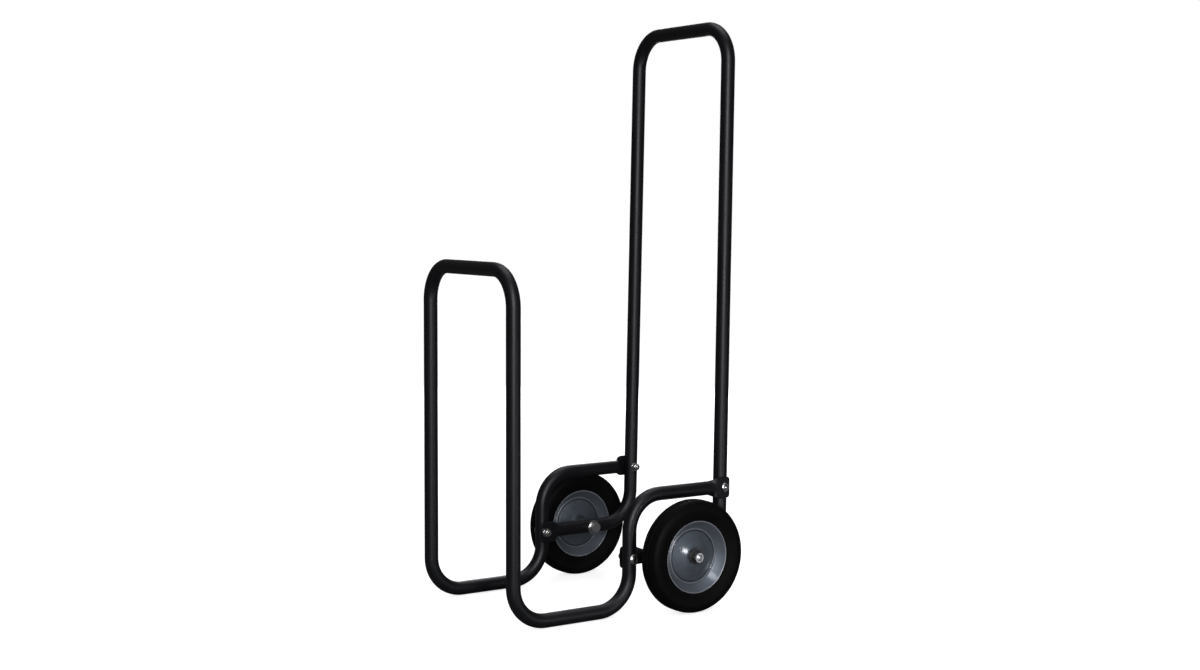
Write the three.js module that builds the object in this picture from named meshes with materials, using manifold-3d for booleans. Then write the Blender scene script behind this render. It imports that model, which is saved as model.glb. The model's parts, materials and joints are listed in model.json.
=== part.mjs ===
// Fireside log cart: a cradle frame and a handle frame, each bent from one length of steel tube,
// bolted together and carried on two disc wheels that turn on short axle bolts.
// Millimetres. +Z is up, the cradle's hoop stands toward -Y, the handle stands toward +Y, and
// the cart is symmetric about x = 0. The origin is on the floor, under the middle of the cart.

import * as THREE from 'three';
import { mergeVertices } from 'three/addons/utils/BufferGeometryUtils.js';
import Module from 'manifold-3d';

// ---------------------------------------------------------------- driving dimensions

// Steel tube and its bends
const TUBE_OD = 25.4;
const TUBE_WALL = 1.5;
const BEND_RADIUS = 63.5; // of the centreline

// Tube ends pressed flat for a bolt
const FLAT_OVERHANG = 10; // bolt to the end of the tube
const FLAT_REACH = 14; // bolt to where the flat ends
const PRESS_LENGTH = 20; // from the flat to the full round tube
const FLAT_CORNER = 5;

// Cradle frame, measured to tube centrelines
const HOOP_HEIGHT = 616;
const CRADLE_DEPTH = 238.5; // hoop to riser
const STEP_DEPTH = 203.5; // riser to rear joint
const STEP_HEIGHT = 212;

// Handle frame, measured to tube centrelines
const RAIL_SPACING = 289.5;
const GRIP_SPACING = 280.5;
const HANDLE_HEIGHT = 1048.5;
const HANDLE_SETBACK = 13.6; // grip behind the rear joint

// Wheels
const WHEEL_RADIUS = 101.6;
const AXLE_SETBACK = 107.5; // riser to axle
const TYRE_WIDTH = 44.4;
const TREAD_WIDTH = 14.4; // flat crown of the tyre
const BEAD_INSET = 0.4; // tyre's bead behind the lip
const BEAD_FLARE = 3.2; // sidewall outward from its bead
const BEAD_RISE = 4; // radius gained over that flare
const TYRE_NOSE = 2; // half the width of the tyre's inmost ring
const SHEET = 1.5; // steel of the two wheel discs
const SEAM_OUTER_RADIUS = 50; // flat ring where the two discs meet
const SEAM_WIDTH = 5;
const RIM_DEPTH = 14.6; // seam to lip, along the axle
const LIP_WIDTH = 1.2;
const DOME_RISE = 6.75; // middle of a disc above its seam
const HUB_OD = 22;
const HUB_WALL = 2.5;
const HUB_INNER_REACH = 26; // middle of the wheel to the hub's inner end
const HUB_OUTER_REACH = 8.9;

// Axle bolts
const AXLE_DIAMETER = 12.7;
const AXLE_HEX = 19; // across flats, head and nut
const AXLE_HEAD_HEIGHT = 8;
const AXLE_NUT_HEIGHT = 11;
const AXLE_WASHER_OD = 27;
const AXLE_WASHER_THICKNESS = 2.4;
const SPACER_LENGTH = 6.2;
const SPACER_OD = 20;
const AXLE_END = 1.8; // bolt standing out of its nut
const AXLE_POINT = 1.2; // chamfer at the bolt's end

// Frame bolts
const BOLT_DIAMETER = 8;
const BOLT_POINT = 0.8; // chamfer at the bolt's end
const BOLT_HEAD_DIAMETER = 18;
const BOLT_HEAD_HEIGHT = 4.6;
const BOLT_HEAD_RIM = 0.8; // thickness of the head at its edge
const BOLT_NECK = 3.4; // square part under the head
const WASHER_OD = 17;
const WASHER_THICKNESS = 1.6;
const NUT_HEX = 13;
const NUT_HEIGHT = 8;
const BOLT_END = 2.2; // bolt standing out of its nut

// Hexagons
const HEX_FACE_INSET = 0.2; // round face inside the flats
const HEX_CHAMFER_SHARE = 0.08; // chamfer depth as a share of the width across flats

// Clearances
const SEAT_GAP = 0.3; // between pieces that are pressed together
const BORE_GAP = 0.3; // round a shank, on the radius
const THREAD_GAP = 0.15; // between a bolt and its nut, on the radius
const CUT_OVERRUN = 1; // how far a cutting shape runs past what it cuts

// Facets
const TUBE_SIDES = 12;
const BORE_SIDES = 10;
const BEND_STEPS = 6;
const WHEEL_SIDES = 40;
const SHOULDER_STEPS = 5;
const DISC_SIDES = 28;
const SMALL_SIDES = 12;
const DOME_STEPS = 4;

// ---------------------------------------------------------------- places worked out from them

const TUBE_RADIUS = TUBE_OD / 2;
const FLAT_THICKNESS = 2 * TUBE_WALL;
const FLAT_HEIGHT = (Math.PI * (TUBE_OD - TUBE_WALL)) / 2 + TUBE_WALL; // half the tube's girth

const CART_DEPTH = CRADLE_DEPTH + STEP_DEPTH + HANDLE_SETBACK;
const HOOP_Y = -CART_DEPTH / 2;
const RISER_Y = HOOP_Y + CRADLE_DEPTH;
const REAR_JOINT_Y = RISER_Y + STEP_DEPTH;
const GRIP_Y = REAR_JOINT_Y + HANDLE_SETBACK;
const AXLE_Y = RISER_Y + AXLE_SETBACK;
const AXLE_Z = WHEEL_RADIUS;

// The rails' flat ends lie against the inner side of the risers.
const RAIL_X = RAIL_SPACING / 2;
const GRIP_X = GRIP_SPACING / 2;
const CRADLE_X = RAIL_X + FLAT_THICKNESS + SEAT_GAP;
const RAIL_FLAT_X = CRADLE_X - TUBE_RADIUS - SEAT_GAP - FLAT_THICKNESS / 2;

// The rear legs lean back and draw together toward the grip.
function legX(z) {
  return RAIL_X + ((GRIP_X - RAIL_X) * (z - AXLE_Z)) / (HANDLE_HEIGHT - AXLE_Z);
}

function legY(z) {
  return REAR_JOINT_Y + (HANDLE_SETBACK * (z - STEP_HEIGHT)) / (HANDLE_HEIGHT - STEP_HEIGHT);
}

// The step tubes' flat ends lie against the outer side of the rear legs. Legs that spread
// upward stand furthest out at the top of the flat.
const LEG_OUTMOST_X = Math.max(legX(STEP_HEIGHT), legX(STEP_HEIGHT + FLAT_HEIGHT / 2));
const STEP_FLAT_X = LEG_OUTMOST_X + TUBE_RADIUS + SEAT_GAP + FLAT_THICKNESS / 2;

// Along the axle, outward from the rail
const SPACER_X = RAIL_X + TUBE_RADIUS + SEAT_GAP;
const HUB_X = SPACER_X + SPACER_LENGTH + SEAT_GAP;
const WHEEL_X = HUB_X + HUB_INNER_REACH;
const HUB_END_X = WHEEL_X + HUB_OUTER_REACH;
const AXLE_WASHER_X = HUB_END_X + SEAT_GAP;
const AXLE_NUT_X = AXLE_WASHER_X + AXLE_WASHER_THICKNESS + SEAT_GAP;
const AXLE_END_X = AXLE_NUT_X + AXLE_NUT_HEIGHT + AXLE_END;
const HEAD_WASHER_X = RAIL_X - TUBE_RADIUS - SEAT_GAP - AXLE_WASHER_THICKNESS;
const AXLE_HEAD_X = HEAD_WASHER_X - SEAT_GAP;

const AXLE_BORE = AXLE_DIAMETER / 2 + BORE_GAP;
const BOLT_BORE = BOLT_DIAMETER / 2 + BORE_GAP;

// ---------------------------------------------------------------- materials

const powderBlack = new THREE.MeshStandardMaterial({ color: 0x17171b, roughness: 0.5, metalness: 0.3 });
const rubberBlack = new THREE.MeshStandardMaterial({ color: 0x121213, roughness: 0.8, metalness: 0 });
const discGrey = new THREE.MeshStandardMaterial({ color: 0x70767d, roughness: 0.35, metalness: 0.8 });
const zincBright = new THREE.MeshStandardMaterial({ color: 0xc4c7cb, roughness: 0.3, metalness: 1 });
const steelPlain = new THREE.MeshStandardMaterial({ color: 0x8b8d90, roughness: 0.4, metalness: 1 });
const nylonWhite = new THREE.MeshStandardMaterial({ color: 0xd8d6cf, roughness: 0.5, metalness: 0 });

// ---------------------------------------------------------------- solids

const solids = await Module();
solids.setup();

// A closed mesh as a solid that can be joined and cut.
function toSolid(geometry) {
  const bare = geometry.clone();
  bare.deleteAttribute('normal');
  bare.deleteAttribute('uv');
  const merged = mergeVertices(bare, 1e-4);
  const corners = merged.index.array;
  const triangles = [];
  for (let i = 0; i < corners.length; i += 3) {
    const [a, b, c] = [corners[i], corners[i + 1], corners[i + 2]];
    if (a !== b && b !== c && c !== a) {
      triangles.push(a, b, c);
    }
  }
  const mesh = new solids.Mesh({
    numProp: 3,
    vertProperties: new Float32Array(merged.attributes.position.array),
    triVerts: new Uint32Array(triangles),
  });
  return new solids.Manifold(mesh);
}

// A solid back as a mesh to show.
function toGeometry(solid) {
  const mesh = solid.getMesh();
  const geometry = new THREE.BufferGeometry();
  geometry.setAttribute('position', new THREE.BufferAttribute(mesh.vertProperties, 3));
  geometry.setIndex(new THREE.BufferAttribute(mesh.triVerts, 1));
  geometry.computeVertexNormals();
  return geometry;
}

// A polygon whose flats touch the circle of this radius, with flats facing along both axes.
function flatSidedShape(radius, sides) {
  const points = [];
  for (let i = 0; i < sides; i += 1) {
    const angle = ((i + 0.5) * 2 * Math.PI) / sides;
    const reach = radius / Math.cos(Math.PI / sides);
    points.push(new THREE.Vector2(reach * Math.cos(angle), reach * Math.sin(angle)));
  }
  return new THREE.Shape(points);
}

// A ring or a disc turned about the X axis. The profile lists [x, radius] and goes round
// with the material on its left, seen with x to the right and the radius upward.
function turned(profile, sides) {
  const points = profile.map(([x, radius]) => new THREE.Vector2(radius, x));
  const geometry = new THREE.LatheGeometry(points.reverse(), sides);
  geometry.rotateZ(-Math.PI / 2);
  geometry.rotateX(Math.PI / sides);
  return toGeometry(toSolid(geometry));
}

// A washer, sleeve or spacer from x = 0 to x = length.
function sleeve(outerRadius, innerRadius, length) {
  const profile = [
    [0, innerRadius],
    [length, innerRadius],
    [length, outerRadius],
    [0, outerRadius],
    [0, innerRadius],
  ];
  return turned(profile, SMALL_SIDES);
}

// A round or square bar along X, for cutting holes.
function barAlongX(shape, start, length) {
  const geometry = new THREE.ExtrudeGeometry(shape, { depth: length, bevelEnabled: false });
  geometry.rotateY(Math.PI / 2);
  geometry.translate(start, 0, 0);
  return geometry;
}

// A solid hexagon from x = 0 to x = height, a corner up, its outer end chamfered.
function hexBlank(acrossFlats, height) {
  const cornerRadius = acrossFlats / Math.sqrt(3);
  const hexagon = toSolid(barAlongX(flatSidedShape(acrossFlats / 2, 6), 0, height));
  const chamfer = turned(
    [
      [-CUT_OVERRUN, 0],
      [height, 0],
      [height, acrossFlats / 2 - HEX_FACE_INSET],
      [height - HEX_CHAMFER_SHARE * acrossFlats, cornerRadius],
      [-CUT_OVERRUN, cornerRadius + CUT_OVERRUN],
      [-CUT_OVERRUN, 0],
    ],
    SMALL_SIDES,
  );
  return hexagon.intersect(toSolid(chamfer));
}

function hexNut(acrossFlats, height, boreRadius) {
  const section = flatSidedShape(boreRadius, SMALL_SIDES);
  const bore = toSolid(barAlongX(section, -CUT_OVERRUN, height + 2 * CUT_OVERRUN));
  return toGeometry(hexBlank(acrossFlats, height).subtract(bore));
}

// ---------------------------------------------------------------- bent tubes

// A line through corner points, with the same bend at each inner corner. Its parameter goes
// from station to station, so that straight runs need none between their ends.
class BentPath extends THREE.Curve {
  constructor(corners, radius, startStations, endStations) {
    super();
    this.places = [];
    this.directions = [];
    const first = corners[1].clone().sub(corners[0]).normalize();
    const last = corners.at(-1).clone().sub(corners.at(-2)).normalize();
    for (const distance of startStations) {
      this.addStation(corners[0].clone().addScaledVector(first, distance), first);
    }
    for (let i = 1; i < corners.length - 1; i += 1) {
      this.addBend(corners[i - 1], corners[i], corners[i + 1], radius);
    }
    for (const distance of endStations.toReversed()) {
      this.addStation(corners.at(-1).clone().addScaledVector(last, -distance), last);
    }
  }

  addStation(place, direction) {
    this.places.push(place);
    this.directions.push(direction.clone());
  }

  addBend(before, corner, after, radius) {
    const inward = corner.clone().sub(before).normalize();
    const outward = after.clone().sub(corner).normalize();
    const turn = inward.angleTo(outward);
    const axis = inward.clone().cross(outward).normalize();
    const start = corner.clone().addScaledVector(inward, -radius * Math.tan(turn / 2));
    const centre = start.clone().addScaledVector(axis.clone().cross(inward), radius);
    for (let i = 0; i <= BEND_STEPS; i += 1) {
      const angle = (turn * i) / BEND_STEPS;
      const spoke = start.clone().sub(centre).applyAxisAngle(axis, angle);
      this.addStation(centre.clone().add(spoke), inward.clone().applyAxisAngle(axis, angle));
    }
  }

  get steps() {
    return this.places.length - 1;
  }

  getPoint(t, target = new THREE.Vector3()) {
    return target.copy(this.places[Math.round(t * this.steps)]);
  }

  getTangent(t, target = new THREE.Vector3()) {
    return target.copy(this.directions[Math.round(t * this.steps)]);
  }

  getPointAt(t, target) {
    return this.getPoint(t, target);
  }

  getTangentAt(t, target) {
    return this.getTangent(t, target);
  }
}

function sweep(radius, sides, path) {
  const options = { steps: path.steps, extrudePath: path, bevelEnabled: false };
  return new THREE.ExtrudeGeometry(flatSidedShape(radius, sides), options);
}

const FLAT_END = FLAT_OVERHANG + FLAT_REACH;
const PRESSED_END = FLAT_END + PRESS_LENGTH;

// Distances from a tube's end where the shape of its pressed end changes.
function pressedStations() {
  const cornerMiddle = FLAT_CORNER * (1 - Math.SQRT1_2);
  const slope = [0.25, 0.5, 0.75].map((share) => FLAT_END + share * PRESS_LENGTH);
  return [0, cornerMiddle, FLAT_CORNER, FLAT_END, ...slope, PRESSED_END];
}

// Presses both ends of a tube flat. At an end the tube runs along Y at x = +-tubeX and
// z = tubeZ, and its flat lies at x = +-flatX. endDistance gives how far a y is from the end.
function pressEnds(geometry, tubeX, tubeZ, flatX, endDistance) {
  const position = geometry.attributes.position;
  const lastAngle = Math.PI / 2 - Math.PI / TUBE_SIDES;
  for (let i = 0; i < position.count; i += 1) {
    const distance = endDistance(position.getY(i));
    const up = position.getZ(i) - tubeZ;
    if (distance < PRESSED_END - 1e-3 && Math.abs(up) < TUBE_OD) {
      const side = Math.sign(position.getX(i));
      const out = Math.abs(position.getX(i)) - tubeX;
      const angle = Math.atan2(up, Math.abs(out));
      const flatUp = (angle / lastAngle) * flatHalfHeight(distance);
      const flatOut = flatX - tubeX + (Math.sign(out) * FLAT_THICKNESS) / 2;
      const share = THREE.MathUtils.smoothstep(PRESSED_END - distance, 0, PRESS_LENGTH);
      position.setX(i, side * (tubeX + THREE.MathUtils.lerp(out, flatOut, share)));
      position.setZ(i, tubeZ + THREE.MathUtils.lerp(up, flatUp, share));
    }
  }
}

// Half the height of a flat, less its rounded corner near the end.
function flatHalfHeight(distance) {
  const intoCorner = THREE.MathUtils.clamp(FLAT_CORNER - distance, 0, FLAT_CORNER);
  return FLAT_HEIGHT / 2 - FLAT_CORNER + Math.sqrt(FLAT_CORNER ** 2 - intoCorner ** 2);
}

function mirrored(corners) {
  const others = corners.map((corner) => new THREE.Vector3(-corner.x, corner.y, corner.z));
  return [...corners, ...others.reverse()];
}

// A hole along X, round or square, from x = from to x = to on one side of the cart.
function hole(shape, side, from, to, y, z) {
  const start = side > 0 ? from : -to;
  return toSolid(barAlongX(shape, start, to - from).translate(0, y, z));
}

function tube(corners, pressing) {
  const walls = new BentPath(corners, BEND_RADIUS, pressedStations(), pressedStations());
  const outside = sweep(TUBE_RADIUS, TUBE_SIDES, walls);
  pressEnds(outside, ...pressing);
  const hollow = new BentPath(corners, BEND_RADIUS, [PRESSED_END], [PRESSED_END]);
  const inside = sweep(TUBE_RADIUS - TUBE_WALL, BORE_SIDES, hollow);
  return toSolid(outside).subtract(toSolid(inside));
}

function cradleFrame() {
  const tubeEnd = REAR_JOINT_Y + FLAT_OVERHANG;
  const corners = mirrored([
    new THREE.Vector3(CRADLE_X, tubeEnd, STEP_HEIGHT),
    new THREE.Vector3(CRADLE_X, RISER_Y, STEP_HEIGHT),
    new THREE.Vector3(CRADLE_X, RISER_Y, TUBE_RADIUS),
    new THREE.Vector3(CRADLE_X, HOOP_Y, TUBE_RADIUS),
    new THREE.Vector3(CRADLE_X, HOOP_Y, HOOP_HEIGHT),
  ]);
  let frame = tube(corners, [CRADLE_X, STEP_HEIGHT, STEP_FLAT_X, (y) => tubeEnd - y]);
  const square = flatSidedShape(BOLT_BORE, 4);
  const round = flatSidedShape(BOLT_BORE, SMALL_SIDES);
  const outer = CRADLE_X + TUBE_OD;
  for (const side of [1, -1]) {
    frame = frame.subtract(hole(round, side, CRADLE_X - TUBE_OD, CRADLE_X, RISER_Y, AXLE_Z));
    frame = frame.subtract(hole(square, side, CRADLE_X, outer, RISER_Y, AXLE_Z));
    frame = frame.subtract(hole(square, side, CRADLE_X, outer, REAR_JOINT_Y, STEP_HEIGHT));
  }
  return toGeometry(frame);
}

function handleFrame() {
  const tubeEnd = RISER_Y - FLAT_OVERHANG;
  const corners = mirrored([
    new THREE.Vector3(RAIL_X, tubeEnd, AXLE_Z),
    new THREE.Vector3(RAIL_X, legY(AXLE_Z), AXLE_Z),
    new THREE.Vector3(GRIP_X, GRIP_Y, HANDLE_HEIGHT),
  ]);
  let frame = tube(corners, [RAIL_X, AXLE_Z, RAIL_FLAT_X, (y) => y - tubeEnd]);
  const boltHole = flatSidedShape(BOLT_BORE, SMALL_SIDES);
  const axleHole = flatSidedShape(AXLE_BORE, SMALL_SIDES);
  const [inner, outer] = [RAIL_X - TUBE_OD, RAIL_X + TUBE_OD];
  for (const side of [1, -1]) {
    frame = frame.subtract(hole(boltHole, side, inner, outer, RISER_Y, AXLE_Z));
    frame = frame.subtract(hole(boltHole, side, inner, outer, REAR_JOINT_Y, STEP_HEIGHT));
    frame = frame.subtract(hole(axleHole, side, inner, outer, AXLE_Y, AXLE_Z));
  }
  return toGeometry(frame);
}

// ---------------------------------------------------------------- wheels, outward along +X

// Points of an arc in [x, radius], from one angle to another in degrees.
function arc(centreX, centreRadius, size, from, to, steps) {
  const points = [];
  for (let i = 0; i <= steps; i += 1) {
    const angle = THREE.MathUtils.degToRad(from + ((to - from) * i) / steps);
    points.push([centreX + size * Math.cos(angle), centreRadius + size * Math.sin(angle)]);
  }
  return points;
}

// The discs' cones rise outward at 45 degrees from the seam to the lips.
const CONE_BACK_RADIUS = SEAM_OUTER_RADIUS + (Math.SQRT2 - 1) * SHEET; // at the seam
const SEAM_HALF_GAP = SEAT_GAP / 2;

// Solid rubber, seated in the groove between the two cones.
function tyre() {
  const shoulder = (TYRE_WIDTH - TREAD_WIDTH) / 2;
  const seat = CONE_BACK_RADIUS + 2 * SEAT_GAP;
  const beadX = RIM_DEPTH - BEAD_INSET;
  const crown = WHEEL_RADIUS / Math.cos(Math.PI / WHEEL_SIDES);
  const rightSide = [
    [TYRE_NOSE, seat + TYRE_NOSE],
    [beadX, seat + beadX],
    [beadX + BEAD_FLARE, seat + beadX + BEAD_RISE],
    ...arc(TREAD_WIDTH / 2, crown - shoulder, shoulder, 0, 90, SHOULDER_STEPS),
  ];
  const leftSide = rightSide.map(([x, radius]) => [-x, radius]).reverse();
  return turned([...rightSide, ...leftSide, rightSide[0]], WHEEL_SIDES);
}

// One pressed steel disc: a domed middle, a flat seam, a cone and a lip. It faces +X, and
// its back meets the other disc at x = 0.
function disc() {
  const seamInnerRadius = SEAM_OUTER_RADIUS - SEAM_WIDTH;
  const holeRadius = HUB_OD / 2 + SEAT_GAP;
  const face = SEAM_HALF_GAP + SHEET;
  const domeRadius = (seamInnerRadius ** 2 + DOME_RISE ** 2) / (2 * DOME_RISE);
  const domeX = (radius) => face + DOME_RISE - domeRadius + Math.sqrt(domeRadius ** 2 - radius ** 2);
  const domeRadii = [holeRadius, 0.5 * seamInnerRadius, 0.78 * seamInnerRadius, seamInnerRadius];
  const back = domeRadii.map((radius) => [domeX(radius) - SHEET, radius]);
  const front = domeRadii.map((radius) => [domeX(radius), radius]).reverse();
  const lip = face + RIM_DEPTH - SHEET;
  const lipFrontRadius = SEAM_OUTER_RADIUS + RIM_DEPTH - SHEET;
  const lipBackRadius = CONE_BACK_RADIUS + RIM_DEPTH;
  const outline = [
    ...front,
    [domeX(holeRadius) - SHEET, holeRadius],
    ...back.slice(1),
    [SEAM_HALF_GAP, CONE_BACK_RADIUS],
    [SEAM_HALF_GAP + RIM_DEPTH, lipBackRadius],
    [lip + LIP_WIDTH, lipBackRadius],
    [lip + LIP_WIDTH, lipBackRadius - SHEET],
    [lip, lipFrontRadius],
    [face, SEAM_OUTER_RADIUS],
    front[0],
  ];
  return turned(outline.reverse(), DISC_SIDES);
}

function hubTube() {
  return sleeve(HUB_OD / 2, HUB_OD / 2 - HUB_WALL, HUB_INNER_REACH + HUB_OUTER_REACH);
}

function hubBushing() {
  const outerRadius = HUB_OD / 2 - HUB_WALL - THREAD_GAP;
  return sleeve(outerRadius, AXLE_BORE, HUB_INNER_REACH + HUB_OUTER_REACH);
}

// ---------------------------------------------------------------- fasteners, outward along +X

// Hexagon-headed bolt; the head's seat is at x = 0 and the shank runs toward +X.
function axleBolt() {
  const length = AXLE_END_X - AXLE_HEAD_X;
  const radius = AXLE_DIAMETER / 2;
  const insideHead = -AXLE_HEAD_HEIGHT / 2;
  const head = toSolid(toGeometry(hexBlank(AXLE_HEX, AXLE_HEAD_HEIGHT)).rotateY(Math.PI));
  const shank = turned(
    [
      [insideHead, 0],
      [length, 0],
      [length, radius - AXLE_POINT],
      [length - AXLE_POINT, radius],
      [insideHead, radius],
      [insideHead, 0],
    ],
    SMALL_SIDES,
  );
  return toGeometry(head.add(toSolid(shank)));
}

// Domed bolt with a square neck; the head's seat is at x = 0 and the shank runs toward -X.
function domedBolt(length) {
  const radius = BOLT_DIAMETER / 2;
  const headRadius = BOLT_HEAD_DIAMETER / 2;
  const rise = BOLT_HEAD_HEIGHT - BOLT_HEAD_RIM;
  const domeRadius = (headRadius ** 2 + rise ** 2) / (2 * rise);
  const halfAngle = THREE.MathUtils.radToDeg(Math.asin(headRadius / domeRadius));
  const dome = arc(BOLT_HEAD_HEIGHT - domeRadius, 0, domeRadius, 0, halfAngle, DOME_STEPS);
  const turnedPart = turned(
    [
      [-length, 0],
      ...dome,
      [0, headRadius],
      [0, radius - THREAD_GAP],
      [-length + BOLT_POINT, radius - THREAD_GAP],
      [-length, radius - BOLT_POINT],
      [-length, 0],
    ],
    SMALL_SIDES,
  );
  const neck = barAlongX(flatSidedShape(radius, 4), -BOLT_NECK, BOLT_NECK + BOLT_HEAD_RIM / 2);
  return toGeometry(toSolid(turnedPart).add(toSolid(neck)));
}

// ---------------------------------------------------------------- assembly

const cart = new THREE.Group();

// Places a piece that was built outward along +X on the near (+X) or far (-X) side.
function place(name, geometry, material, side, x, y, z) {
  const mesh = new THREE.Mesh(geometry, material);
  mesh.name = `${name}_${side > 0 ? 'near' : 'far'}`;
  mesh.position.set(side * x, y, z);
  mesh.rotation.z = side > 0 ? 0 : Math.PI;
  cart.add(mesh);
}

function addFrame(name, geometry) {
  const mesh = new THREE.Mesh(geometry, powderBlack);
  mesh.name = name;
  cart.add(mesh);
}

addFrame('cradle_frame', cradleFrame());
addFrame('handle_frame', handleFrame());

// One bolted joint: head outside, then what it clamps, a washer and a lock nut inside.
function addJoint(name, side, headX, washerX, y, z) {
  const nutX = washerX - SEAT_GAP - NUT_HEIGHT;
  const length = headX - nutX + BOLT_END;
  const threadRadius = BOLT_DIAMETER / 2 + THREAD_GAP;
  const nut = hexNut(NUT_HEX, NUT_HEIGHT, threadRadius).rotateY(Math.PI).translate(NUT_HEIGHT, 0, 0);
  const washer = sleeve(WASHER_OD / 2, BOLT_BORE, WASHER_THICKNESS);
  place(`${name}_bolt`, domedBolt(length), zincBright, side, headX, y, z);
  place(`${name}_washer`, washer, zincBright, side, washerX, y, z);
  place(`${name}_nut`, nut, zincBright, side, nutX, y, z);
}

function addWheel(side) {
  const at = [side, WHEEL_X, AXLE_Y, AXLE_Z];
  place('tyre', tyre(), rubberBlack, ...at);
  place('outer_disc', disc(), discGrey, ...at);
  place('inner_disc', disc().rotateZ(Math.PI), discGrey, ...at);
  place('hub_tube', hubTube(), steelPlain, side, HUB_X, AXLE_Y, AXLE_Z);
  place('hub_bushing', hubBushing(), nylonWhite, side, HUB_X, AXLE_Y, AXLE_Z);
}

function addAxle(side) {
  const washer = () => sleeve(AXLE_WASHER_OD / 2, AXLE_BORE, AXLE_WASHER_THICKNESS);
  const spacer = sleeve(SPACER_OD / 2, AXLE_BORE, SPACER_LENGTH);
  const nut = hexNut(AXLE_HEX, AXLE_NUT_HEIGHT, AXLE_DIAMETER / 2 + THREAD_GAP);
  place('axle_bolt', axleBolt(), zincBright, side, AXLE_HEAD_X, AXLE_Y, AXLE_Z);
  place('axle_head_washer', washer(), zincBright, side, HEAD_WASHER_X, AXLE_Y, AXLE_Z);
  place('axle_spacer', spacer, steelPlain, side, SPACER_X, AXLE_Y, AXLE_Z);
  place('axle_washer', washer(), zincBright, side, AXLE_WASHER_X, AXLE_Y, AXLE_Z);
  place('axle_nut', nut, zincBright, side, AXLE_NUT_X, AXLE_Y, AXLE_Z);
}

for (const side of [1, -1]) {
  const riserHeadX = CRADLE_X + TUBE_RADIUS + SEAT_GAP;
  const riserWasherX = RAIL_FLAT_X - FLAT_THICKNESS / 2 - SEAT_GAP - WASHER_THICKNESS;
  addJoint('riser', side, riserHeadX, riserWasherX, RISER_Y, AXLE_Z);
  const rearHeadX = STEP_FLAT_X + FLAT_THICKNESS / 2 + SEAT_GAP;
  const rearWasherX = legX(STEP_HEIGHT) - TUBE_RADIUS - SEAT_GAP - WASHER_THICKNESS;
  addJoint('rear', side, rearHeadX, rearWasherX, REAR_JOINT_Y, STEP_HEIGHT);
  addWheel(side);
  addAxle(side);
}

export default cart;
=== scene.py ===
# %% [markdown]
# # A fireside log cart
# The cart is two bent steel tubes, bolted together, on two pressed steel wheels with rubber
# tyres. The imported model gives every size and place. This lesson makes the fine surfaces and
# the finishes round it: each plain solid is replaced by a piece modelled the way its maker
# shapes it, so a tube is drawn out and bent, and a wheel is turned.

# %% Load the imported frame
import json
import math

import bpy
from mathutils import Matrix, Vector


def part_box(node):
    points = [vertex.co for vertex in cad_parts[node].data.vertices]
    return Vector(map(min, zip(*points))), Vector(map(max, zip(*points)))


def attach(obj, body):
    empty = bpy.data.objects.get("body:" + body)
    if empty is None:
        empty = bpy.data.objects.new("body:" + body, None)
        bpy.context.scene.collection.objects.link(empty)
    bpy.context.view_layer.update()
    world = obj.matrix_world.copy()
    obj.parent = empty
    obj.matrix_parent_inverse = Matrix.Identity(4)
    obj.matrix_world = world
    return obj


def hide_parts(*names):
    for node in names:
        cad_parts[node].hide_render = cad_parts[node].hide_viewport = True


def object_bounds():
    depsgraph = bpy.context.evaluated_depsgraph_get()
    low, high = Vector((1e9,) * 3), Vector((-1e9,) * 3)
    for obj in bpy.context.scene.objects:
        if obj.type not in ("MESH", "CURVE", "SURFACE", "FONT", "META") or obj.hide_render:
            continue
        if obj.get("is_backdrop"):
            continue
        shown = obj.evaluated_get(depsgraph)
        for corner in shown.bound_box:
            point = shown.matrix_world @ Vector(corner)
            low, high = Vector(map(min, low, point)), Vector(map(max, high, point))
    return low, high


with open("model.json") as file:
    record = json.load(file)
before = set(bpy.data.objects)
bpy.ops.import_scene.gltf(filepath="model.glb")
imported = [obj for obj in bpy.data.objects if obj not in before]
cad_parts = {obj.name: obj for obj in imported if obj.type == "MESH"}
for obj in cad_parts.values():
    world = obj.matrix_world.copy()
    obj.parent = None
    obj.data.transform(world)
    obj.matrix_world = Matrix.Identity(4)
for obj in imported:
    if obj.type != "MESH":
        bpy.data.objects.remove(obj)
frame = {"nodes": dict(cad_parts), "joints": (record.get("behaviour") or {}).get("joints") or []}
cad_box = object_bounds()
print("solids in the frame:", len(frame["nodes"]))

# %% [markdown]
# ## Sizes
# Lengths are in metres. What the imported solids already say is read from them, so the pieces
# below can't drift away from the frame. What they can't say, such as a wall or a corner
# radius, is named here once.

# %% Sizes and places
MM = 0.001
TUBE_OD = 25.4 * MM
TUBE_WALL = 1.5 * MM
BEND_RADIUS = 63.5 * MM
GRIP_DRAW_IN = 4.5 * MM
FLAT_CORNER = 5 * MM
FLAT_LENGTH = 24 * MM
PRESS_LENGTH = 20 * MM
SEAT_GAP = 0.3 * MM
BOLT_HEAD_HEIGHT = 4.6 * MM
TUBE_RADIUS = TUBE_OD / 2
FLAT_THICKNESS = 2 * TUBE_WALL
FLAT_HEIGHT = math.pi * (TUBE_OD - TUBE_WALL) / 2 + TUBE_WALL


def middle(node):
    low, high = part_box(node)
    return (low + high) / 2


cradle_low, cradle_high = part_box("cradle_frame")
handle_low, handle_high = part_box("handle_frame")
riser = middle("riser_bolt_near")
rear = middle("rear_bolt_near")
wheel = Vector(next(j["pos_m"] for j in frame["joints"] if j["child"] == "wheel_near"))
cradle_x = cradle_high.x - TUBE_RADIUS
rail_x = handle_high.x - TUBE_RADIUS
rear_head_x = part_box("rear_bolt_near")[1].x - BOLT_HEAD_HEIGHT
step_flat_x = rear_head_x - SEAT_GAP - FLAT_THICKNESS / 2
rail_flat_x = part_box("riser_washer_near")[1].x + SEAT_GAP + FLAT_THICKNESS / 2
print("cradle tube at x", round(cradle_x, 5), "axle rail at x", round(rail_x, 5))
print("wheel middle", [round(v, 5) for v in wheel])

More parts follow.
